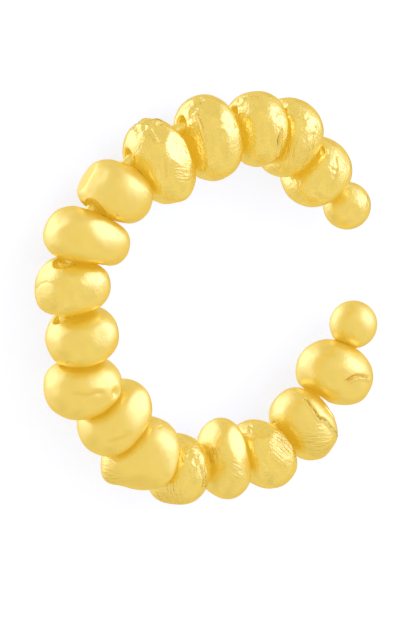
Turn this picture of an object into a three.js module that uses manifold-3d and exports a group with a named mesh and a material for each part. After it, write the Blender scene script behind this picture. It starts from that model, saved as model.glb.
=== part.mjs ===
// Ear cuff: an open ring of wire that carries seventeen pebble beads between two soldered balls.
// Millimetres, Z up. The cuff lies on its side: the ring is flat in X and Y, its opening
// faces +X, and the lowest pebbles touch z = 0.

import * as THREE from 'three';
import { mergeVertices } from 'three/addons/utils/BufferGeometryUtils.js';
import Module from 'manifold-3d';

// ---- driving dimensions ----

const RING_RADIUS = 8.16; // middle of the ring to the middle of the wire
const WIRE_RADIUS = 0.3;
const WIRE_SIDES = 8;
const WIRE_STEPS = 56;
const BALL_RADIUS = 1.14;
const BALL_SIDES = 16;
const BALL_RINGS = 10;

const BORE_RADIUS = 0.45;
const BORE_RIM = 0.1; // width and depth of the rounding at the mouth of each bore
const PRESS_GAP = 0.06; // left between pebbles that are pressed together, as a part of their size
const PRESS_SOFTNESS = 16; // how sharply a pebble turns into its pressed face
const FLAT_SOFTNESS = 30; // how sharply a pebble turns into a flat

const SIDES_AROUND = 20; // facets round each pebble
const FIRST_RING = 36; // degrees from the bore to the first and last ring of a pebble's skin
const SKIN_RINGS = 9;
const FARTHEST = 4; // no pebble's skin is farther than this from its middle
const STRIDE = 0.1;
const HALVINGS = 16;
const SAME_CORNER = 1e-5; // corners nearer than this are one

// One row for each soldered ball: its place round the ring, in degrees from +X towards +Y,
// and how far outside the ring it sits.
const BALL_COLUMNS = ['station', 'out'];
const BALLS = [
  [17.5, -0.2],
  [334.5, 0.05],
];

// One row for each pebble, from the first ball to the last.
//   station: degrees round the ring        long: along the wire
//   wide: across the wire, in the ring     high: across the wire, along Z
//   out, up: middle of the pebble from the wire
//   swing: turn about Z      tip: turn about the outward line      roll: turn about the wire
//   blunt: 2 is an egg, 3 is nearly a box
//   taper: how much longer it is at its outer end than at its middle
//   swell: how much fatter it is at the end towards the first ball than at its middle
//   bow: how far its outer and inner ends curve towards the first ball, as a bean's do
const PEBBLE_COLUMNS = ['station', 'long', 'wide', 'high', 'out', 'up',
  'swing', 'tip', 'roll', 'blunt', 'taper', 'swell', 'bow'];
const PEBBLES = [
  [37, 2.8, 3.5, 3.6, -0.8, 0.3, -2, 0, 6, 2.2, 0, 0, 0],
  [55, 2.9, 3.9, 3.7, -0.3, 0.25, 6, 0, 0, 2.2, 0, 0, 0],
  [68, 2.75, 3.65, 3.8, -0.38, 0.3, 16, 0, -6, 2.2, 0, 0, 0],
  [88.5, 2.7, 4.2, 3.7, -0.75, 0.3, 3, 4, 0, 2.3, -0.08, 0, 0.06],
  [110.3, 2.75, 4.3, 3.6, -0.85, 0.25, -3, 0, 0, 2.4, -0.08, 0.04, 0],
  [130, 2.75, 3.6, 3.6, -0.45, 0.3, 17, 0, 8, 2.3, 0, 0, 0],
  [148.5, 2.5, 4.2, 3.7, -0.3, 0.3, 5, 0, 0, 2.5, 0.05, 0, -0.06],
  [165.5, 2.6, 3.4, 3.5, -0.2, 0.3, 17, -5, 0, 2.4, 0, 0, 0],
  [185, 2.7, 3.4, 3.8, -0.65, 0.3, 11, 0, 0, 2.3, 0, 0.05, 0],
  [202, 2.8, 3.8, 3.6, 0.1, 0.25, -16, 0, 0, 2.3, 0, 0, 0],
  [219, 2.9, 4, 3.7, -0.3, 0.3, 4, 4, 0, 2.2, 0, 0, 0],
  [235, 3.2, 3.6, 3.6, 0.3, 0.3, 0, 0, 0, 2.4, 0, -0.1, 0.1],
  [250, 2.9, 3.35, 3.7, 0.6, 0.3, 10, 0, -10, 2.2, 0, 0, 0],
  [266.5, 2.05, 3.95, 3.4, 0.15, 0.3, -1, 0, 0, 2.3, 0.1, 0, -0.12],
  [281.5, 2.5, 3.5, 3.6, 0.65, 0.25, 14, -4, 0, 2.4, 0, 0, 0.05],
  [298, 2.55, 3.7, 3.7, 0.55, 0.3, -6, 0, 8, 2.3, 0, 0, 0],
  [317.5, 2.75, 3.65, 3.6, 0.05, 0.3, 6, 0, 0, 2.3, 0, 0.04, 0],
];

// Rounded humps and hollows that make each pebble its own shape. Each lies in a direction from
// the pebble's middle: around, in degrees about the wire from outward (0) by up (90) to inward
// (180), and along, in degrees towards the first ball (90) or the last (-90).
const HUMP_COLUMNS = ['pebble', 'around', 'along', 'rise', 'spread'];
const HUMPS = [
  [1, -80, 10, 0.15, 40],
  [2, 57, 16, 0.1, 16],
  [3, -100, -20, -0.12, 35],
  [4, -60, 15, 0.12, 35],
  [5, -100, -30, 0.12, 30],
  [6, 116, -6, -0.18, 28],
  [6, -80, -20, 0.12, 35],
  [7, -1, -41, 0.2, 30],
  [7, 124, -9, -0.12, 28],
  [8, -23, -30, 0.25, 30],
  [9, -70, 10, -0.12, 30],
  [10, -110, -10, 0.12, 35],
  [12, -15, 28, 0.32, 26],
  [12, 74, -28, 0.28, 30],
  [12, 39, 2, -0.15, 22],
  [13, -90, 15, 0.1, 35],
  [14, 131, -2, -0.12, 30],
  [14, 54, -30, 0.18, 28],
  [15, -110, 10, 0.12, 30],
  [16, -70, -15, 0.1, 30],
  [17, -138, 48, 0.2, 24],
  [17, -95, 20, -0.1, 30],
];

// Flats struck on the pebbles, in the same directions; cut is how deep each is taken.
const FLAT_COLUMNS = ['pebble', 'around', 'along', 'cut'];
const FLATS = [
  [5, 48, 12, 0.14],
  [5, 28, -12, 0.08],
  [6, 6, 14, 0.14],
  [15, 105, -8, 0.1],
];

// ---- materials ----

const gold = new THREE.MeshStandardMaterial({
  name: 'gold',
  color: '#efce63',
  roughness: 0.34,
  metalness: 1,
});

// ---- helpers ----

const wasm = await Module();
wasm.setup();

function rows(columns, table) {
  return table.map((row) => Object.fromEntries(columns.map((name, i) => [name, row[i]])));
}

function radians(degrees) {
  return THREE.MathUtils.degToRad(degrees);
}

function toSolid(geometry) {
  const bare = geometry.clone();
  bare.deleteAttribute('normal');
  bare.deleteAttribute('uv');
  const merged = mergeVertices(bare, SAME_CORNER);
  return new wasm.Manifold(new wasm.Mesh({
    numProp: 3,
    vertProperties: new Float32Array(merged.attributes.position.array),
    triVerts: new Uint32Array(merged.index.array),
  }));
}

function toGeometry(solid) {
  const mesh = solid.getMesh();
  const geometry = new THREE.BufferGeometry();
  geometry.setAttribute('position', new THREE.BufferAttribute(mesh.vertProperties, 3));
  geometry.setIndex(new THREE.BufferAttribute(mesh.triVerts, 1));
  return geometry;
}

// ---- wire ring with its soldered balls ----

function ringPoint(station, out) {
  const angle = radians(station);
  return new THREE.Vector3(Math.cos(angle), Math.sin(angle), 0).multiplyScalar(RING_RADIUS + out);
}

class WireArc extends THREE.Curve {
  constructor(from, to) {
    super();
    this.from = from;
    this.to = to;
  }

  getPoint(part) {
    return ringPoint(THREE.MathUtils.lerp(this.from, this.to, part), 0);
  }
}

function makeWire() {
  const section = new THREE.Shape();
  section.absarc(0, 0, WIRE_RADIUS, 0, 2 * Math.PI);
  const balls = rows(BALL_COLUMNS, BALLS);
  const tube = new THREE.ExtrudeGeometry(section, {
    extrudePath: new WireArc(balls[0].station, balls[1].station),
    steps: WIRE_STEPS,
    curveSegments: WIRE_SIDES / 2,
    bevelEnabled: false,
  });
  let solid = toSolid(tube);
  for (const { station, out } of balls) {
    const ball = new THREE.SphereGeometry(BALL_RADIUS, BALL_SIDES, BALL_RINGS);
    ball.translate(...ringPoint(station, out).toArray());
    solid = solid.add(toSolid(ball));
  }
  const mesh = new THREE.Mesh(toGeometry(solid), gold);
  mesh.name = 'cuff_wire';
  return mesh;
}

// ---- pebbles ----

// The wire's frame at a pebble: X along the wire towards the first ball, Y outward, Z up.
function stationFrame(station) {
  const frame = new THREE.Matrix4().makeRotationZ(radians(station) - Math.PI / 2);
  return frame.setPosition(ringPoint(station, 0));
}

// Direction in a pebble's own frame, from its angles about the wire and along it.
function direction(around, along) {
  const side = Math.cos(radians(along));
  return new THREE.Vector3(
    Math.sin(radians(along)),
    side * Math.cos(radians(around)),
    side * Math.sin(radians(around)),
  );
}

// Distance from a pebble's middle to the plane that just touches it on one side.
function support(pebble, facing) {
  const power = pebble.blunt / (pebble.blunt - 1);
  const parts = pebble.half.clone().multiply(facing).toArray();
  return parts.reduce((sum, part) => sum + Math.abs(part) ** power, 0) ** (1 / power);
}

function preparePebbles() {
  const pebbles = rows(PEBBLE_COLUMNS, PEBBLES);
  pebbles.forEach((pebble, i) => {
    pebble.frame = stationFrame(pebble.station);
    const lean = new THREE.Euler(radians(pebble.roll), radians(pebble.tip), radians(pebble.swing));
    const body = new THREE.Matrix4().makeRotationFromEuler(lean);
    pebble.middle = new THREE.Vector3(0, pebble.out, pebble.up);
    body.setPosition(pebble.middle);
    pebble.toBody = pebble.frame.clone().multiply(body).invert();
    pebble.half = new THREE.Vector3(pebble.long, pebble.wide, pebble.high).divideScalar(2);
    pebble.humps = rows(HUMP_COLUMNS, HUMPS).filter((hump) => hump.pebble === i + 1);
    pebble.flats = rows(FLAT_COLUMNS, FLATS).filter((flat) => flat.pebble === i + 1);
    for (const flat of pebble.flats) {
      flat.facing = direction(flat.around, flat.along);
      flat.depth = support(pebble, flat.facing) - flat.cut;
    }
  });
  return pebbles;
}

function softMax(a, b, sharpness) {
  return (a ** sharpness + Math.max(b, 0) ** sharpness) ** (1 / sharpness);
}

// How far out a point of the ring lies in a pebble: 0 at its middle and 1 on its skin.
function reach(pebble, point) {
  const place = point.clone().applyMatrix4(pebble.toBody);
  const { half, blunt } = pebble;
  const outer = place.y / half.y;
  const far = place.x / half.x;
  const x = (place.x - pebble.bow * outer * outer) / (half.x * (1 + pebble.taper * outer));
  const fatness = 1 + pebble.swell * far;
  const y = outer / fatness;
  const z = place.z / (half.z * fatness);
  let size = (Math.abs(x) ** blunt + Math.abs(y) ** blunt + Math.abs(z) ** blunt) ** (1 / blunt);
  const away = place.clone().normalize();
  for (const hump of pebble.humps) {
    const turn = away.angleTo(direction(hump.around, hump.along)) / radians(hump.spread);
    size /= 1 + (hump.rise / half.y) * Math.exp(-turn * turn);
  }
  for (const flat of pebble.flats) {
    size = softMax(size, place.dot(flat.facing) / flat.depth, FLAT_SOFTNESS);
  }
  return size;
}

// The same, with the pebble pressed flat where its neighbours meet it.
function pressedReach(pebbles, i, point) {
  const own = reach(pebbles[i], point);
  let size = own;
  for (const neighbour of [pebbles[i - 1], pebbles[i + 1]]) {
    if (neighbour) {
      size = softMax(size, 1 + own - reach(neighbour, point) + PRESS_GAP, PRESS_SOFTNESS);
    }
  }
  return size;
}

// Distance to pebble i's skin from a place inside it, in the wire's frame there.
function skinDistance(pebbles, i, start, heading) {
  const isInside = (distance) => {
    const point = start.clone().addScaledVector(heading, distance).applyMatrix4(pebbles[i].frame);
    return pressedReach(pebbles, i, point) < 1;
  };
  let inner = 0;
  while (inner < FARTHEST && isInside(inner + STRIDE)) {
    inner += STRIDE;
  }
  let outer = inner + STRIDE;
  for (let n = 0; n < HALVINGS; n += 1) {
    const middle = (inner + outer) / 2;
    if (isInside(middle)) {
      inner = middle;
    } else {
      outer = middle;
    }
  }
  return inner;
}

// Closed outline of a bored ball, to turn about the wire: its skin, then its bore between two
// rims. Each corner says which of these it is on.
function boredOutline() {
  const corners = [];
  const add = (part, radius, along) => corners.push({ part, point: new THREE.Vector2(radius, along) });
  for (let n = 0; n < SKIN_RINGS; n += 1) {
    const last = SKIN_RINGS - 1;
    const angle = radians(THREE.MathUtils.mapLinear(n, 0, last, 180 - FIRST_RING, FIRST_RING));
    add('skin', Math.sin(angle), Math.cos(angle));
  }
  add('rim', BORE_RADIUS + BORE_RIM, 1);
  add('bore', BORE_RADIUS, 1);
  add('bore', BORE_RADIUS, -1);
  add('rim', BORE_RADIUS + BORE_RIM, -1);
  corners.push(corners[0]);
  return corners;
}

// Moves a corner of the bored ball out to pebble i's skin. The skin's rings spread from the
// wire at the mouths of the bore, and from the pebble's middle halfway between them.
function placeOnSkin(pebbles, i, corner) {
  const first = Math.sin(radians(FIRST_RING));
  const halfway = (Math.hypot(corner.y, corner.z) - first) / (1 - first);
  const start = pebbles[i].middle.clone().multiplyScalar(halfway);
  return start.clone().addScaledVector(corner, skinDistance(pebbles, i, start, corner));
}

// Moves a corner of the bore's rim along the wire to pebble i's skin, and one of the bore
// itself to the rim's depth below it.
function placeAtMouth(pebbles, i, corner, part) {
  const end = Math.sign(corner.x);
  const rim = new THREE.Vector3(0, corner.y, corner.z).setLength(BORE_RADIUS + BORE_RIM);
  const mouth = skinDistance(pebbles, i, rim, new THREE.Vector3(end, 0, 0));
  const depth = part === 'rim' ? 0 : BORE_RIM;
  return new THREE.Vector3(end * (mouth - depth), corner.y, corner.z);
}

function makePebble(pebbles, i) {
  const outline = boredOutline();
  const ball = new THREE.LatheGeometry(outline.map((corner) => corner.point), SIDES_AROUND);
  ball.rotateZ(-Math.PI / 2);
  const position = ball.attributes.position;
  for (let n = 0; n < position.count; n += 1) {
    const { part } = outline[n % outline.length];
    const corner = new THREE.Vector3().fromBufferAttribute(position, n);
    const placed = part === 'skin'
      ? placeOnSkin(pebbles, i, corner)
      : placeAtMouth(pebbles, i, corner, part);
    position.setXYZ(n, placed.x, placed.y, placed.z);
  }
  const mesh = new THREE.Mesh(ball, gold);
  mesh.name = `pebble_${String(i + 1).padStart(2, '0')}`;
  mesh.applyMatrix4(pebbles[i].frame);
  return mesh;
}

// ---- assembly ----

const cuff = new THREE.Group();
cuff.add(makeWire());
const pebbles = preparePebbles();
pebbles.forEach((pebble, i) => cuff.add(makePebble(pebbles, i)));

// The origin is under the middle of the cuff's box, on the surface that it rests on.
const box = new THREE.Box3().setFromObject(cuff, true);
const middle = box.getCenter(new THREE.Vector3());
cuff.position.set(-middle.x, -middle.y, -box.min.z);
cuff.updateMatrixWorld(true);

export default cuff;
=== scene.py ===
"""Ear cuff: an open ring of round wire strung with seventeen gold pebble beads, shut at each
end by a soldered ball. It lies on its side on a white table."""

import math

import bmesh
import bpy
import numpy as np
from mathutils import Matrix, Vector, noise


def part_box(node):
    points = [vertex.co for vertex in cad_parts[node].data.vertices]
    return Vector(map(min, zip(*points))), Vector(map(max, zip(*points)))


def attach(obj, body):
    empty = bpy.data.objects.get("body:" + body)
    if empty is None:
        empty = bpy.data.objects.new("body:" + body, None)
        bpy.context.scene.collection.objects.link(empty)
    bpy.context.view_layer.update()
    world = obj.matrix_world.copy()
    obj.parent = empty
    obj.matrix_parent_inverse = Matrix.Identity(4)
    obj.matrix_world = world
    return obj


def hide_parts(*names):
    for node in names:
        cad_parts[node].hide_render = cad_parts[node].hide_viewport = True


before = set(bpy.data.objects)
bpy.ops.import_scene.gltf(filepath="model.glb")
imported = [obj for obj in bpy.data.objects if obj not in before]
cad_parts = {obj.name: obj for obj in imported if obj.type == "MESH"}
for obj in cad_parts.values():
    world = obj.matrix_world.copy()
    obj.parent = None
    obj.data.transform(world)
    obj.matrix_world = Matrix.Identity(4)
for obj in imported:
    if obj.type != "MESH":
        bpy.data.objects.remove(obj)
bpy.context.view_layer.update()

# ---------------------------------------------------------------------------------------------
# Satin gold: gold plate on cast brass, tumbled with fine media until it is smooth but not mirror
# bright, then thinly lacquered. It has a wide soft sheen, finely grained where a stone has been
# drawn over it, and brighter where the casting's crumpled skin is left.
# ---------------------------------------------------------------------------------------------

MM = 0.001

PALE_GOLD = "#ffec9a"
WARM_GOLD = "#fff0a8"
PAINTED_SHADE_GOLD = "#e6b652"  # painted shade in strokes and creases
GOLD_EDGE = "#fff1c4"  # the sheen at a grazing angle
STROKE_SHADE = 0.15  # how far a stroke is painted with shade, towards the shaded gold
POLISHED_ROUGHNESS = 0.23
TUMBLED_ROUGHNESS = 0.39
LACQUER = 0.2
LACQUER_ROUGHNESS = 0.2

GRAIN = 0.15 * MM  # the real grains are 0.02 mm, drawn coarser so that they show
GRAIN_HEIGHT = 0.03 * MM
GRAIN_LEFT = 0.2  # the share of the grain that a full tumbling leaves
STROKE_GAP = 0.11  # mm, as the strokes' own coordinates are
STROKE_LENGTH = 0.7  # mm
STROKE_HEIGHT = 0.11 * MM
MOTTLE = 1.1 * MM
FOLD_GAP = 0.25 * MM
FOLD_HEIGHT = 0.05 * MM


def linear(hex_colour):
    """An sRGB hex colour as linear red, green, blue and full alpha."""
    parts = [int(hex_colour[i : i + 2], 16) / 255 for i in (1, 3, 5)]
    return [p / 12.92 if p <= 0.04045 else ((p + 0.055) / 1.055) ** 2.4 for p in parts] + [1.0]


def add_node(material, kind, inputs=None, **settings):
    """Adds a node with its settings; an input, by name or number, is a value or another node's
    output."""
    node = material.node_tree.nodes.new(kind)
    for name, value in settings.items():
        setattr(node, name, value)
    for name, value in (inputs or {}).items():
        if isinstance(value, bpy.types.NodeSocket):
            material.node_tree.links.new(value, node.inputs[name])
        else:
            node.inputs[name].default_value = value
    return node


def satin_gold():
    material = bpy.data.materials.new("satin_cast_gold")
    material.use_nodes = True
    material.node_tree.nodes.clear()
    place = add_node(material, "ShaderNodeTexCoord").outputs["Object"]
    marks = {
        name: add_node(material, "ShaderNodeAttribute", attribute_name=name).outputs
        for name in ("brushed", "crumpled", "strokes", "satin", "crease_shade")
    }
    satin = marks["satin"]["Fac"]

    # The tumbling grain is fainter where the pebble was tumbled for longer.
    grain = add_node(
        material,
        "ShaderNodeTexNoise",
        {"Vector": place, "Scale": 1 / GRAIN, "Detail": 1.0, "Roughness": 0.5},
    )
    grainy = add_node(
        material, "ShaderNodeMapRange", {"Value": satin, "To Min": 1.0, "To Max": GRAIN_LEFT}
    )
    skin = add_node(
        material,
        "ShaderNodeBump",
        {
            "Height": grain.outputs["Fac"],
            "Strength": grainy.outputs["Result"],
            "Distance": GRAIN_HEIGHT,
        },
    )

    # Stone strokes run along their own direction, which the pebble's marks carry.
    drawn = add_node(
        material,
        "ShaderNodeMapping",
        {"Vector": marks["strokes"]["Vector"], "Scale": (1 / STROKE_GAP, 1 / STROKE_LENGTH, 1.0)},
        vector_type="POINT",
    )
    scratches = add_node(
        material,
        "ShaderNodeTexNoise",
        {"Vector": drawn.outputs["Vector"], "Scale": 1.0, "Detail": 3.0},
    )
    cut = add_node(
        material,
        "ShaderNodeMath",
        {0: scratches.outputs["Fac"], 1: marks["brushed"]["Fac"]},
        operation="MULTIPLY",
    )
    stroked = add_node(
        material,
        "ShaderNodeBump",
        {
            "Height": cut.outputs["Value"],
            "Strength": 1.0,
            "Distance": STROKE_HEIGHT,
            "Normal": skin.outputs["Normal"],
        },
    )

    # The gold is a little paler or warmer from place to place, over about a millimetre. It is painted
    # darker in its strokes and creases, as shade there.
    mottle = add_node(
        material, "ShaderNodeTexNoise", {"Vector": place, "Scale": 1 / MOTTLE, "Detail": 3.0}
    )
    plate = add_node(
        material,
        "ShaderNodeMix",
        {"Factor": mottle.outputs["Fac"], "A": linear(PALE_GOLD), "B": linear(WARM_GOLD)},
        data_type="RGBA",
    )
    stroke_shading = add_node(
        material,
        "ShaderNodeMath",
        {0: cut.outputs["Value"], 1: STROKE_SHADE},
        operation="MULTIPLY",
    )
    # Painted shade: strokes and creases are mixed towards the darker gold.
    painted_shade = add_node(
        material,
        "ShaderNodeMath",
        {0: stroke_shading.outputs["Value"], 1: marks["crease_shade"]["Fac"]},
        operation="ADD",
        use_clamp=True,
    )
    colour = add_node(
        material,
        "ShaderNodeMix",
        {"Factor": painted_shade.outputs["Value"], "A": plate.outputs["Result"], "B": linear(PAINTED_SHADE_GOLD)},
        data_type="RGBA",
    )

    # The crumpled casting skin has folds with sharp creases between them.
    creases = add_node(
        material,
        "ShaderNodeTexVoronoi",
        {"Vector": place, "Scale": 1 / FOLD_GAP, "Detail": 1.0},
        feature="F1",
    )
    fold = add_node(
        material,
        "ShaderNodeMath",
        {0: creases.outputs["Distance"], 1: marks["crumpled"]["Fac"]},
        operation="MULTIPLY",
    )
    folded = add_node(
        material,
        "ShaderNodeBump",
        {
            "Height": fold.outputs["Value"],
            "Strength": 1.0,
            "Distance": FOLD_HEIGHT,
            "Normal": stroked.outputs["Normal"],
        },
    )

    # Tumbled pebbles have a softer sheen than polished ones.
    gloss = add_node(
        material,
        "ShaderNodeMapRange",
        {"Value": satin, "To Min": POLISHED_ROUGHNESS, "To Max": TUMBLED_ROUGHNESS},
    )
    shader = add_node(
        material,
        "ShaderNodeBsdfPrincipled",
        {
            "Metallic": 1.0,
            "Specular Tint": linear(GOLD_EDGE),
            "Coat Weight": LACQUER,
            "Coat Roughness": LACQUER_ROUGHNESS,
            "Roughness": gloss.outputs["Result"],
            "Base Color": colour.outputs["Result"],
            "Normal": folded.outputs["Normal"],
        },
    )
    add_node(material, "ShaderNodeOutputMaterial", {"Surface": shader.outputs["BSDF"]})
    return material


gold = satin_gold()


def new_piece(name, bm, node, marks):
    """A finished piece from a bmesh: smooth gold, riding on the cuff in its CAD node's place."""
    mesh = bpy.data.meshes.new(name)
    bm.to_mesh(mesh)
    bm.free()
    mesh.shade_smooth()
    mesh.materials.append(gold)
    for mark, (kind, field, values) in marks.items():
        layer = mesh.attributes.new(mark, kind, "POINT")
        layer.data.foreach_set(field, values.astype(np.float32).ravel())
    piece = bpy.data.objects.new(name, mesh)
    bpy.context.scene.collection.objects.link(piece)
    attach(piece, "root")
    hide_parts(node)
    return piece


# ---------------------------------------------------------------------------------------------
# Core wire: round 0.6 mm gold wire bent to an open ring, with a ball soldered on each end that
# keeps the pebbles on it. It shows only at the pebbles' holes and beside the balls.
# ---------------------------------------------------------------------------------------------

WIRE_RADIUS = 0.3 * MM
WIRE_SIDES = 48
WIRE_STEPS = 220
BALL_RINGS = 36
SOLDER_RADIUS = 0.42 * MM  # where the solder's fillet leaves the ball
SOLDER_LENGTH = 0.14 * MM  # from the ball's skin to the plain wire
SOLDER_RINGS = 4
WIRE_SATIN = 0.4
BALL_REACH = 1.01  # in ball radii; takes in a ball's whole skin
ROUGH_SIDE = Vector((0.40, 0.30, 0.87))  # where the first ball's skin is left crumpled
ROUGH_SIZE = 0.5 * MM
ROUGH_SHARE = 0.7

wire_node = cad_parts["cuff_wire"]
wire_low, wire_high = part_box("cuff_wire")
ring_outside = (wire_high.y - wire_low.y) / 2
ring_radius = ring_outside - WIRE_RADIUS
ring_centre = Vector(
    (wire_low.x + ring_outside, (wire_low.y + wire_high.y) / 2, (wire_low.z + wire_high.z) / 2)
)
ball_radius = (wire_high.z - wire_low.z) / 2


def off_the_wire(point):
    """How far a point is from the wire's middle line."""
    flat = point - ring_centre
    return math.hypot(math.hypot(flat.x, flat.y) - ring_radius, flat.z)


def ball_middle(side):
    """Middle of the ball on the +Y (1) or -Y (-1) side of the opening, from the skin that is clear
    of the wire's circle. It is up to 0.08 mm from the whole ball's own middle."""
    skin = [
        v.co
        for v in wire_node.data.vertices
        if (v.co.y - ring_centre.y) * side > 0 and off_the_wire(v.co) > 2 * WIRE_RADIUS
    ]
    low = Vector(min(p[i] for p in skin) for i in range(3))
    high = Vector(max(p[i] for p in skin) for i in range(3))
    return (low + high) / 2


def outward_angle(point):
    """Angle about Z of the direction from the ring's middle out to a point."""
    return math.atan2(point.y - ring_centre.y, point.x - ring_centre.x)


balls = [ball_middle(side) for side in (1, -1)]
to_plain_wire = (ball_radius + SOLDER_LENGTH) / ring_radius
first_end = outward_angle(balls[0]) + to_plain_wire
last_end = 2 * math.pi + outward_angle(balls[1]) - to_plain_wire

wire = bmesh.new()
section = Matrix.Translation(ring_centre) @ Matrix.Rotation(first_end, 4, "Z")
section = section @ Matrix.Translation((ring_radius, 0, 0)) @ Matrix.Rotation(math.pi / 2, 4, "X")
bmesh.ops.create_circle(wire, segments=WIRE_SIDES, radius=WIRE_RADIUS, matrix=section)
bmesh.ops.spin(
    wire,
    geom=wire.edges[:],
    cent=ring_centre,
    axis=(0, 0, 1),
    angle=last_end - first_end,
    steps=WIRE_STEPS,
)
for ball, turned_to_wire in zip(balls, (1, -1)):
    tangent = Matrix.Rotation(outward_angle(ball), 4, "Z")
    axis = Matrix.Rotation(-turned_to_wire * math.pi / 2, 4, "X")
    made = bmesh.ops.create_uvsphere(
        wire,
        u_segments=WIRE_SIDES,
        v_segments=BALL_RINGS,
        radius=ball_radius,
        matrix=Matrix.Translation(ball) @ tangent @ axis,
    )
    facing = (tangent @ axis).to_3x3() @ Vector((0, 0, 1))
    cap = math.sqrt(ball_radius**2 - SOLDER_RADIUS**2)
    bmesh.ops.delete(
        wire, geom=[v for v in made["verts"] if (v.co - ball).dot(facing) > cap], context="VERTS"
    )
    rims = [e for e in wire.edges if e.is_boundary and (e.verts[0].co - ball).length < 2 * ball_radius]
    joint = bmesh.ops.bridge_loops(wire, edges=rims)
    bmesh.ops.subdivide_edges(wire, edges=joint["edges"], cuts=SOLDER_RINGS, smooth=1.0)
bmesh.ops.recalc_face_normals(wire, faces=wire.faces)
skin_points = np.array([v.co for v in wire.verts])
tumbled = np.linalg.norm(skin_points - np.array(balls[1]), axis=1) < BALL_REACH * ball_radius
rough_spot = np.array(balls[0] + ball_radius * ROUGH_SIDE)
from_spot = np.linalg.norm(skin_points - rough_spot, axis=1)
wrinkled = np.exp(-((from_spot / ROUGH_SIZE) ** 4))
wire_marks = {
    "satin": ("FLOAT", "value", WIRE_SATIN + tumbled),
    "crumpled": ("FLOAT", "value", ROUGH_SHARE * wrinkled),
}
new_piece("wire_ring", wire, "cuff_wire", wire_marks)

# ---------------------------------------------------------------------------------------------
# Pebbles: seventeen small gold nuggets, each cast in its own shape, drilled off its middle and
# threaded crosswise on the wire so that they press against each other.
# ---------------------------------------------------------------------------------------------

SAME_PLACE = 0.001 * MM  # corners nearer than this are one
QUAD_ANGLE = math.radians(60)  # facets that turn less than this are joined in pairs
FINE_LEVELS = 3
SQUEEZE = 1.05  # how much a pebble spreads along the wire until it touches its neighbours
WAVES = ((0.9, 0.035), (0.33, 0.008))  # length and height, mm; the skins are faintly uneven
BORE_RADIUS = 0.31  # mm; a hole runs close round the wire
MOUTH_RADIUS = 0.62  # mm; and opens out from it like a funnel
FAR = 10.0  # mm; farther than any two points of a pebble
SAME_HEADING = 1e-4  # the cosine's slack between points that lie in one direction
ROUND_THE_SIDE = -0.2  # the cosine past which skin faces away from a spot
LEAST_SHARE = 0.05  # below this a patch leaves the skin alone
FACET_CRUMPLE = 0.15
LIP_PLACE = 1.8  # the lip's crest from a crease's middle, in widths
LIP_WIDTH = 1.2  # in widths
RUN_OUT = 3  # the length over which a crease runs out, in widths
DEEP_CREASE = 0.15  # mm; a crease this deep has the painted shade in full
CREASE_SHADE_NARROWING = 1.4  # how much narrower the painted shade is than its crease


def fine_pebble(node):
    """The CAD pebble's facets turned into one fine smooth skin, as a bmesh."""
    cage = bmesh.new()
    cage.from_mesh(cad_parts[node].data)
    bmesh.ops.remove_doubles(cage, verts=cage.verts, dist=SAME_PLACE)
    bmesh.ops.join_triangles(
        cage,
        faces=cage.faces,
        angle_face_threshold=QUAD_ANGLE,
        angle_shape_threshold=QUAD_ANGLE,
    )
    mesh = bpy.data.meshes.new("cage")
    cage.to_mesh(mesh)
    cage.free()
    form = bpy.data.objects.new("cage", mesh)
    bpy.context.scene.collection.objects.link(form)
    smooth = form.modifiers.new("smooth", "SUBSURF")
    smooth.levels = smooth.render_levels = FINE_LEVELS
    bpy.context.view_layer.update()
    fine = bmesh.new()
    fine.from_object(form, bpy.context.evaluated_depsgraph_get())
    bpy.data.objects.remove(form)
    bpy.data.meshes.remove(mesh)
    return fine


def heading(around, along):
    """Direction in a pebble's own frame, in degrees: around the wire from outward (0) by up (90)
    to inward (180), and along it towards the first ball (90) or the last (-90)."""
    side = math.cos(math.radians(along))
    return np.array(
        (
            math.sin(math.radians(along)),
            side * math.cos(math.radians(around)),
            side * math.sin(math.radians(around)),
        )
    )


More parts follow.
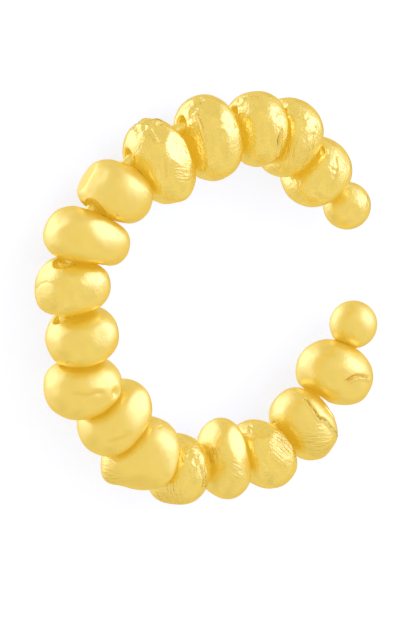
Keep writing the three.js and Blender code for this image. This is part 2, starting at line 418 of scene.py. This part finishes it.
class Skin:
    """A pebble's skin while it is worked, in millimetres about the pebble's middle, with X along
    the wire towards the first ball, Y outward and Z up."""

    def __init__(self, bm, middle):
        self.bm = bm
        outward = outward_angle(middle) - math.pi / 2
        self.place = Matrix.Translation(middle) @ Matrix.Rotation(outward, 4, "Z") @ Matrix.Scale(MM, 4)
        self.turn = np.array(Matrix.Rotation(outward, 3, "Z"))
        self.points = np.array([self.place.inverted() @ v.co for v in bm.verts])
        self.read_normals()
        self.brushed = np.zeros(len(self.points))
        self.crumpled = np.zeros(len(self.points))
        self.satin = np.zeros(len(self.points))
        self.crease_shade = np.zeros(len(self.points))
        self.strokes = np.zeros((len(self.points), 3))

    def read_normals(self):
        for vertex, point in zip(self.bm.verts, self.points):
            vertex.co = self.place @ Vector(point)
        self.bm.normal_update()
        self.normals = np.array([v.normal for v in self.bm.verts]) @ self.turn

    def spot(self, around, along):
        """The skin's point in a direction, and its normal."""
        reach = np.linalg.norm(self.points, axis=1)
        match = self.points @ heading(around, along) / reach
        nearest = np.argmax(np.where(match > match.max() - SAME_HEADING, reach, 0))
        return self.points[nearest], self.normals[nearest]

    def away_from(self, around, along):
        """How far each point of the skin is from a spot, in mm, on the spot's side only."""
        point, normal = self.spot(around, along)
        away = np.linalg.norm(self.points - point, axis=1)
        return np.where(self.normals @ normal > ROUND_THE_SIDE, away, np.inf)

    def raise_by(self, heights):
        self.points += self.normals * heights[:, None]

    def wave(self, seed):
        for length, height in WAVES:
            shift = Vector((seed, 0, length))
            rise = [noise.noise(Vector(p) / length + shift) for p in self.points]
            self.raise_by(height * np.array(rise))

    def close_on_the_wire(self):
        """Draws the hole in until it runs close round the wire, inside a funnel of a mouth."""
        own_wire = self.place.inverted() @ ring_centre
        across = self.points - np.array(own_wire)
        ring = ring_radius / MM
        flat = np.hypot(across[:, 0], across[:, 1])
        middle = np.stack([across[:, 0] / flat, across[:, 1] / flat, 0 * flat], axis=1) * ring
        off = across - middle
        away = np.linalg.norm(off, axis=1)
        part = np.clip((away - BORE_RADIUS) / (MOUTH_RADIUS - BORE_RADIUS), 0, 1)
        wanted = np.where(away < MOUTH_RADIUS, BORE_RADIUS + (away - BORE_RADIUS) * part, away)
        self.points += off * (wanted / away - 1)[:, None]

    def hollow(self, around, along, radius, depth):
        """A dish with a crisp rim round a spot."""
        part = np.clip(1 - (self.away_from(around, along) / radius) ** 2, 0, 1)
        self.raise_by(-depth * np.sqrt(part))

    def hump(self, around, along, rise, spread):
        self.raise_by(rise * np.exp(-((self.away_from(around, along) / spread) ** 2)))

    def flat(self, around, along, cut, edge, facing=None):
        """A facet cut at a spot, square to the skin there or facing a direction of its own;
        edge is the width of its rounded edge."""
        point, normal = self.spot(around, along)
        deepest = point - cut * normal
        if facing:
            normal = heading(*facing)
        over = (self.points - deepest) @ normal
        pressed = over - np.logaddexp(0, over / edge) * edge
        near = self.normals @ normal > 0
        self.points += np.where(near, pressed - over, 0)[:, None] * normal
        self.read_normals()

    def shatter(self, around, along, spread, size, lean, seed):
        """Small flat faces that lean this way and that, where the casting's skin has wrinkled."""
        share = np.exp(-((self.away_from(around, along) / spread) ** 6))
        near = np.nonzero(share > LEAST_SHARE)[0]
        chance = np.random.default_rng(seed)
        centres = []
        for index in chance.permutation(near):
            gaps = [np.linalg.norm(self.points[index] - c) for c in centres]
            if not gaps or min(gaps) > size:
                centres.append(self.points[index])
        gaps = np.linalg.norm(self.points[near][:, None] - np.array(centres)[None], axis=2)
        owner = gaps.argmin(axis=1)
        for face in range(len(centres)):
            members = near[owner == face]
            normal = self.normals[members].mean(axis=0) + chance.normal(0, lean, 3)
            normal /= np.linalg.norm(normal)
            over = (self.points[members] - self.points[members].mean(axis=0)) @ normal
            self.points[members] -= (over * share[members])[:, None] * normal
        self.crumpled = np.maximum(self.crumpled, FACET_CRUMPLE * share)
        self.read_normals()

    def crease(self, depth, width, lip, *spots):
        """A crease through the spots in turn, running out at both ends, with a lip along its left
        side, seen from outside, and painted shade along its valley."""
        line = [self.spot(*spot) for spot in spots]
        runs = [end - start for (start, _), (end, _) in zip(line, line[1:])]
        lengths = [np.linalg.norm(run) for run in runs]
        best = np.full(len(self.points), FAR)
        side = np.zeros(len(self.points))
        reached = np.zeros(len(self.points))
        for index, run in enumerate(runs):
            start, normal = line[index]
            part = np.clip((self.points - start) @ run / (run @ run), 0, 1)
            gap = self.points - (start + part[:, None] * run)
            away = np.linalg.norm(gap, axis=1)
            left = np.sign(gap @ np.cross(normal, run))
            closer = (away < best) & (self.normals @ normal > 0)
            best = np.where(closer, away, best)
            side = np.where(closer, left, side)
            reached = np.where(closer, sum(lengths[:index]) + part * lengths[index], reached)
        to_end = np.minimum(reached, sum(lengths) - reached)
        taper = np.sin(np.clip(to_end / (RUN_OUT * width), 0, 1) * math.pi / 2)
        valley = np.exp(-((best / width) ** 2))
        ridge = np.exp(-(((best * side - LIP_PLACE * width) / (LIP_WIDTH * width)) ** 2))
        self.raise_by(depth * taper * (lip * ridge - valley))
        # Painted shade: the valley is marked for the darker gold, more for a deeper crease.
        if depth > 0:
            share = taper * min(depth / DEEP_CREASE, 1)
            share = share * np.exp(-((CREASE_SHADE_NARROWING * best / width) ** 2))
            self.crease_shade = np.maximum(self.crease_shade, share)

    def brush(self, around, along, spread, slant):
        """Stone strokes round a spot; slant turns them from along the wire (0) to around it (90)."""
        point, normal = self.spot(around, along)
        share = np.exp(-((self.away_from(around, along) / spread) ** 4))
        ahead = heading(around, along + 1) - heading(around, along)
        ahead -= normal * (ahead @ normal)
        ahead /= np.linalg.norm(ahead)
        across = np.cross(ahead, normal)
        across *= np.sign(across @ (heading(around + 1, along) - heading(around, along)))
        slant = math.radians(slant)
        stroke = ahead * math.cos(slant) + across * math.sin(slant)
        own = np.stack(
            [
                (self.points - point) @ np.cross(normal, stroke),
                (self.points - point) @ stroke,
                (self.points - point) @ normal,
            ],
            axis=1,
        )
        self.strokes = np.where((share > self.brushed)[:, None], own, self.strokes)
        self.brushed = np.maximum(self.brushed, share)

    def tumble(self, share):
        self.satin += share

    def marks(self):
        return {
            "brushed": ("FLOAT", "value", self.brushed),
            "crumpled": ("FLOAT", "value", self.crumpled),
            "satin": ("FLOAT", "value", self.satin),
            "crease_shade": ("FLOAT", "value", self.crease_shade),
            "strokes": ("FLOAT_VECTOR", "vector", self.strokes),
        }


# What is done to each pebble, in turn, as the name of a Skin function and what it is given: every
# spot is (around, along) in degrees, sizes are in mm, and a shatter's last number is its seed.
WORK = {
    1: [
        ("crease", 0.06, 0.07, 1.2, (40, -47), (56, -41), (66, -37)),
        ("shatter", 74, -11, 0.45, 0.25, 0.08, 1),
        ("crease", 0.05, 0.05, 1.2, (60, -20), (68, -13), (78, -7), (92, -3)),
        ("crease", 0.03, 0.1, 0.5, (118, 22), (125, 8), (124, -6)),
        ("hump", 164, -29, -0.03, 0.07),
    ],
    2: [
        ("shatter", 31, -43, 0.4, 0.25, 0.15, 2),
        ("shatter", 58, -8, 0.55, 0.3, 0.14, 13),
        ("crease", 0.05, 0.06, 1.0, (58, -3), (70, 1), (82, -2)),
        ("brush", 108, -10, 0.9, -114),
        ("hump", 152, -18, -0.03, 0.06),
        ("hump", 156, -10, -0.03, 0.06),
    ],
    3: [
        ("hump", 0, -5, 0.06, 0.7),
        ("flat", 52, -2, 0.04, 0.02),
        ("crease", 0.1, 0.05, 1.0, (74, 7), (88, 4), (99, 5), (125, 11)),
        ("shatter", 60, 0, 0.4, 0.3, 0.12, 4),
        ("shatter", -2, -46, 0.4, 0.3, 0.15, 5),
    ],
    4: [
        ("flat", 57, 9, 0.06, 0.02, (70, 20)),
        ("shatter", 8, -24, 0.75, 0.35, 0.2, 6),
        ("shatter", 56, 8, 0.6, 0.28, 0.1, 7),
        ("flat", 30, -7, 0.06, 0.02),
        ("crease", 0.07, 0.05, 1.4, (80, -31), (50, -32), (22, -28)),
        ("crease", 0.05, 0.06, 1.0, (103, -34), (125, -31), (146, -28)),
        ("hump", 118, 1, -0.04, 0.06),
        ("hump", 123, 7, -0.04, 0.05),
        ("hump", 127, -4, -0.035, 0.05),
    ],
    5: [
        ("hump", 140, -5, 0.17, 0.5),
        ("shatter", 0, 5, 0.85, 0.33, 0.34, 8),
        ("flat", 28, 2, 0.08, 0.015),
        ("flat", 50, 20, 0.13, 0.01, (72, 26)),
        ("crease", 0.07, 0.05, 1.4, (10, -1), (23, -4), (38, -8)),
        ("crease", 0.05, 0.07, 0.8, (63, -10), (80, -18), (97, -26)),
        ("flat", 88, 5, 0.06, 0.02, (90, -2)),
        ("brush", 100, 4, 0.55, 42),
        ("hollow", -30, -46, 0.65, 0.35),
    ],
    6: [
        ("tumble", 1.0),
        ("flat", -12, -6, 0.15, 0.015, (-20, -8)),
        ("crease", 0.02, 0.06, 1.2, (100, 24), (117, 24), (140, 27)),
        ("hollow", 40, -58, 0.6, 0.18),
        ("shatter", 98, -36, 0.4, 0.25, 0.2, 9),
    ],
    7: [
        ("tumble", 1.0),
        ("hump", -5, 30, -0.08, 0.9),
        ("crease", -0.07, 0.3, 0, (-5, 2), (13, -4), (30, 9), (52, 22), (81, 33), (107, 28)),
        ("flat", 72, 30, 0.07, 0.06, (88, 30)),
    ],
    8: [
        ("tumble", 0.5),
        ("hollow", 8, 58, 0.6, 0.22),
        ("flat", -17, 22, 0.1, 0.03),
        ("crease", 0.035, 0.06, 1.2, (-18, -13), (-7, -1), (8, 6), (23, 5)),
        ("flat", 88, 24, 0.03, 0.03),
    ],
    9: [
        ("tumble", 0.8),
        ("flat", 92, 15, 0.05, 0.03),
        ("hump", 33, -26, 0.07, 0.3),
        ("hump", 33, -26, -0.13, 0.16),
    ],
    10: [
        ("tumble", 1.0),
        ("hump", -12, 25, -0.06, 0.8),
        ("hump", 113, -11, 0.13, 0.42),
        ("hump", 113, -11, -0.28, 0.26),
        ("crease", 0.05, 0.11, 0.6, (50, 28), (69, 17), (84, 12), (98, 2)),
    ],
    11: [
        ("tumble", 1.0),
        ("hump", 150, 5, 0.06, 0.6),
        ("flat", 103, 13, 0.015, 0.08, (112, 12)),
        ("crease", 0.04, 0.16, 0.3, (40, 10), (60, 4), (80, -4)),
    ],
    12: [
        ("tumble", 1.0),
        ("hump", -12, 26, 0.2, 0.6),
        ("hump", 37, -5, -0.06, 0.5),
        ("shatter", 158, 12, 0.45, 0.25, 0.2, 11),
        ("brush", 2, 40, 0.8, 97),
    ],
    13: [
        ("hump", -12, 25, 0.12, 0.6),
        ("shatter", 116, 4, 0.5, 0.28, 0.24, 12),
        ("crease", 0.04, 0.06, 0.8, (124, 26), (116, 26), (108, 25)),
        ("flat", 114, -24, 0.05, 0.02),
        ("crease", 0.06, 0.05, 1.0, (111, -3), (95, -8), (82, -17), (70, -20)),
        ("brush", 45, 30, 0.9, -138),
    ],
    14: [
        ("tumble", 0.7),
        ("hump", 8, 5, 0.06, 0.7),
        ("flat", 134, 6, 0.06, 0.06, (122, -6)),
        ("flat", 88, -16, 0.05, 0.03),
        ("brush", 83, 4, 0.65, -145),
        ("brush", 122, 42, 0.45, -83),
    ],
    15: [
        ("flat", 150, 4, 0.08, 0.02),
        ("shatter", 163, 15, 0.42, 0.2, 0.2, 15),
        ("flat", 112, -17, 0.09, 0.015, (112, -22)),
        ("brush", 112, -14, 0.8, -122),
    ],
    16: [
        ("tumble", 0.7),
        (
            "crease", 0.24, 0.045, 0.5,
            (58, -22), (71, -19), (85, -16), (102, -15), (112, -8), (122, -9), (137, -11), (149, -14),
        ),
        ("crease", 0.08, 0.06, 0.8, (80, -44), (100, -42), (125, -40)),
        ("flat", 43, -5, 0.09, 0.03),
        ("brush", 85, 16, 0.9, -150),
    ],
    17: [
        ("tumble", 0.75),
        ("hump", -165, 10, 0.07, 0.7),
        ("crease", 0.15, 0.055, 1.3, (60, -18), (78, -14), (90, -9), (97, -1), (102, 10)),
    ],
}

for node in sorted(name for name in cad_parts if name.startswith("pebble")):
    number = int(node[-2:])
    low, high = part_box(node)
    skin = Skin(fine_pebble(node), (low + high) / 2)
    skin.points[:, 0] *= SQUEEZE
    skin.read_normals()
    skin.wave(number)
    for what, *how in WORK[number]:
        getattr(skin, what)(*how)
    skin.close_on_the_wire()
    skin.read_normals()
    new_piece(f"gold_pebble_{number:02d}", skin.bm, node, skin.marks())

# ---------------------------------------------------------------------------------------------
# The table and the light: a matt white table that glows a little, a warm room, and two pairs of
# soft lamps, one to the right of the cuff and one below the table at its closed side. The table
# casts no shadow, so the lower pair's light comes up through it.
# ---------------------------------------------------------------------------------------------

BOUNCES = 24
REFLECTIONS = 2  # after these, light counts as coming straight from the room
TABLE_REACH = 3  # from its middle to its edges
TABLE_COLOUR = "#bfc8e1"
TABLE_ROUGHNESS = 0.9
TABLE_GLOW_COLOUR = "#d4daf3"
TABLE_GLOW = 0.85
DIM_ROOM = "#b9a877"
BRIGHT_ROOM = "#fff0b9"
ROOM_BRIGHTNESS = 1.13
ROOM_PATCHES = 2.2  # light and dark patches across the room
ROOM_NEARNESS = 0.01 * MM  # only gold nearer than this then hides the room
LAMP_COLOUR = "#aebdef"
LAMP_DISTANCE = 0.5

scene = bpy.context.scene
scene.view_settings.view_transform = "Standard"
scene.cycles.max_bounces = BOUNCES
scene.cycles.glossy_bounces = BOUNCES
scene.cycles.use_fast_gi = True
scene.cycles.ao_bounces_render = REFLECTIONS

# Matt painted board: it gives back a broad even light and no highlight.
table = bpy.data.materials.new("white_table")
table.use_nodes = True
surface = table.node_tree.nodes["Principled BSDF"]
surface.inputs["Base Color"].default_value = linear(TABLE_COLOUR)
surface.inputs["Roughness"].default_value = TABLE_ROUGHNESS
surface.inputs["Emission Color"].default_value = linear(TABLE_GLOW_COLOUR)
surface.inputs["Emission Strength"].default_value = TABLE_GLOW
floor_mesh = bmesh.new()
bmesh.ops.create_grid(floor_mesh, x_segments=1, y_segments=1, size=TABLE_REACH)
floor_data = bpy.data.meshes.new("table")
floor_mesh.to_mesh(floor_data)
floor_mesh.free()
floor_data.materials.append(table)
floor = bpy.data.objects.new("table", floor_data)
floor.visible_glossy = False
floor.visible_shadow = False
scene.collection.objects.link(floor)

# The room is warm and a little uneven, lighter and darker over about a quarter of its width.
room = bpy.data.worlds.new("warm_room")
room.use_nodes = True
background = room.node_tree.nodes["Background"]
background.inputs["Strength"].default_value = ROOM_BRIGHTNESS
way = add_node(room, "ShaderNodeTexCoord").outputs["Generated"]
patches = add_node(room, "ShaderNodeTexNoise", {"Vector": way, "Scale": ROOM_PATCHES, "Detail": 1.0})
walls = add_node(
    room,
    "ShaderNodeMix",
    {"Factor": patches.outputs["Fac"], "A": linear(DIM_ROOM), "B": linear(BRIGHT_ROOM)},
    data_type="RGBA",
)
room.node_tree.links.new(walls.outputs["Result"], background.inputs["Color"])
room.light_settings.distance = ROOM_NEARNESS
scene.world = room


def soft_light(name, direction, size, power):
    """A square soft light that faces the cuff from a direction."""
    lamp = bpy.data.lights.new(name, "AREA")
    lamp.shape = "SQUARE"
    lamp.size = size
    lamp.energy = power
    lamp.color = linear(LAMP_COLOUR)[:3]
    lamp_object = bpy.data.objects.new(name, lamp)
    lamp_object.location = Vector(direction).normalized() * LAMP_DISTANCE
    lamp_object.rotation_euler = (-Vector(direction)).to_track_quat("-Z", "Y").to_euler()
    lamp_object.visible_camera = False
    scene.collection.objects.link(lamp_object)


soft_light("right_softbox", (0.85, 0.32, 0.42), size=0.80, power=1.0)
soft_light("right_core", (0.79, 0.38, 0.48), size=0.42, power=0.62)
soft_light("left_softbox", (-0.443, 0.263, -0.856), size=0.75, power=0.85)
soft_light("left_core", (-0.40, 0.33, -0.856), size=0.40, power=0.40)

# ---------------------------------------------------------------------------------------------
# The camera: it looks down on the cuff from its closed side, from far enough away that the near
# and far pebbles are to one scale.
# ---------------------------------------------------------------------------------------------

FRAME_HEIGHT = 29.43 * MM  # what the camera takes in, at the cuff
CAMERA_DISTANCE = 0.8
SENSOR = 36
NEAREST_SEEN = 0.05
FARTHEST_SEEN = 10

toward = Vector((-0.471, 0.300, 0.829)).normalized()
upward = Vector((0.221, 0.950, -0.2185))
sideways = upward.cross(toward).normalized()
upward = toward.cross(sideways)
target = Vector((-0.09, -0.658, 1.753)) * MM
camera = bpy.data.cameras.new("camera")
camera.sensor_width = SENSOR
camera.lens = SENSOR * CAMERA_DISTANCE / FRAME_HEIGHT
camera.clip_start = NEAREST_SEEN
camera.clip_end = FARTHEST_SEEN
camera_object = bpy.data.objects.new("camera", camera)
turned = Matrix((sideways, upward, toward)).transposed().to_4x4()
camera_object.matrix_world = Matrix.Translation(target + toward * CAMERA_DISTANCE) @ turned
scene.collection.objects.link(camera_object)
scene.camera = camera_object
